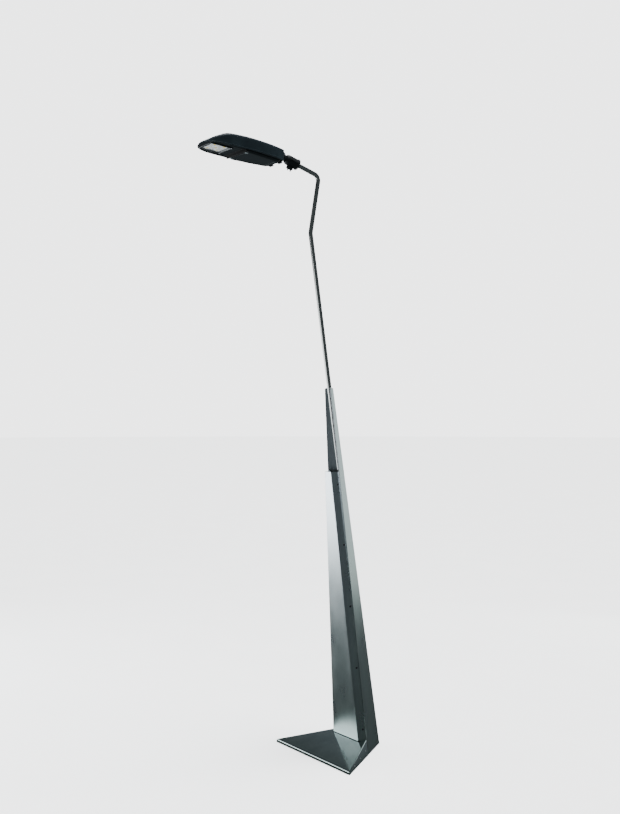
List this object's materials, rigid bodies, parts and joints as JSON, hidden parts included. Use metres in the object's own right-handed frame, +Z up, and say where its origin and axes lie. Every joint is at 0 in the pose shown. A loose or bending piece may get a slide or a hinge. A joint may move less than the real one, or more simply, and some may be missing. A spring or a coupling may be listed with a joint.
{
  "type": "street lamp post",
  "caption": "Street lamp post: folded stainless V post on a triangular foot, screwed tapered door, thin bent mast and tilting LED head with a hinged gear cover.",
  "frame": {"origin": "centre of the anchor circle on the underside of the ground plate", "axes": "+Z up, -Y forwards (the way the head reaches and the door faces), +X to the right when seen from the front"},
  "size_m": [0.64, 1.0451, 2.9983],
  "materials": {
    "stainless": "brushed",
    "apron_steel": "polished",
    "mast_steel": "satin",
    "galvanised": "galvanised",
    "fastener": "bright",
    "earth_brass": "bright",
    "anthracite": "powder coated satin",
    "black_cast": "powder coated satin",
    "clip_grey": "satin",
    "tray_metal": "mill",
    "seal_rubber": "matt",
    "window_glass": "clear",
    "reflector_white": "gloss",
    "board": "matt",
    "chip_yellow": "gloss",
    "gear_plastic": "matt",
    "box_plastic": "matt",
    "gland_plastic": "matt"
  },
  "bodies": {
    "post": {"door_screws": "fastener", "earth_lug": "earth_brass", "earth_stud": "earth_brass", "equipment_rail": "galvanised", "foot_cover": "apron_steel", "front_door": "stainless", "fuse_box": "box_plastic", "fuse_box_gland": "gland_plastic", "fuse_box_lid": "box_plastic", "fuse_carrier": "box_plastic", "ground_plate": "galvanised", "left_door_rail": "galvanised", "left_gusset": "galvanised", "lower_diaphragm": "galvanised", "lower_mast_clamp": "galvanised", "mast_clamp_screws": "fastener", "mast_shelf": "galvanised", "mast_socket": "galvanised", "mast_tube": "mast_steel", "post_terminals": "gear_plastic", "rear_shell": "stainless", "reducer_bush": "black_cast", "right_door_rail": "galvanised", "right_gusset": "galvanised", "rivet_nuts": "fastener", "set_screws": "fastener", "skirt_screws": "fastener", "spigot_adapter": "black_cast", "tilt_bolt": "fastener", "tilt_nut": "fastener", "tilt_washers": "fastener", "upper_mast_clamp": "galvanised"},
    "head": {"head_housing": "anthracite", "module_plate": "anthracite", "window_frame": "anthracite", "seal_land": "anthracite", "hinge_brackets": "anthracite", "hinge_pins": "fastener", "frame_screws": "fastener", "gear_tray": "tray_metal", "heat_spreader": "tray_metal", "window_seal": "seal_rubber", "cover_seal": "seal_rubber", "window_glass": "window_glass", "reflector": "reflector_white", "led_board": "board", "led_chips": "chip_yellow", "led_driver": "gear_plastic", "head_terminals": "gear_plastic", "surge_protector": "gear_plastic", "head_gland": "gland_plastic", "pressure_vent": "gland_plastic"},
    "gear_cover": {"gear_cover": "anthracite", "cover_clips": "clip_grey"}
  },
  "joints": [
    {"name": "head_tilt", "type": "hinge", "parent": "post", "child": "head", "pos_m": [0, -0.34, 2.94245], "axis": [-1, 0, 0], "range_deg": [-15, 15]},
    {"name": "gear_cover_hinge", "type": "hinge", "parent": "head", "child": "gear_cover", "pos_m": [0, -0.36694, 2.89743], "axis": [1, 0, 0], "range_deg": [0, 80]}
  ]
}
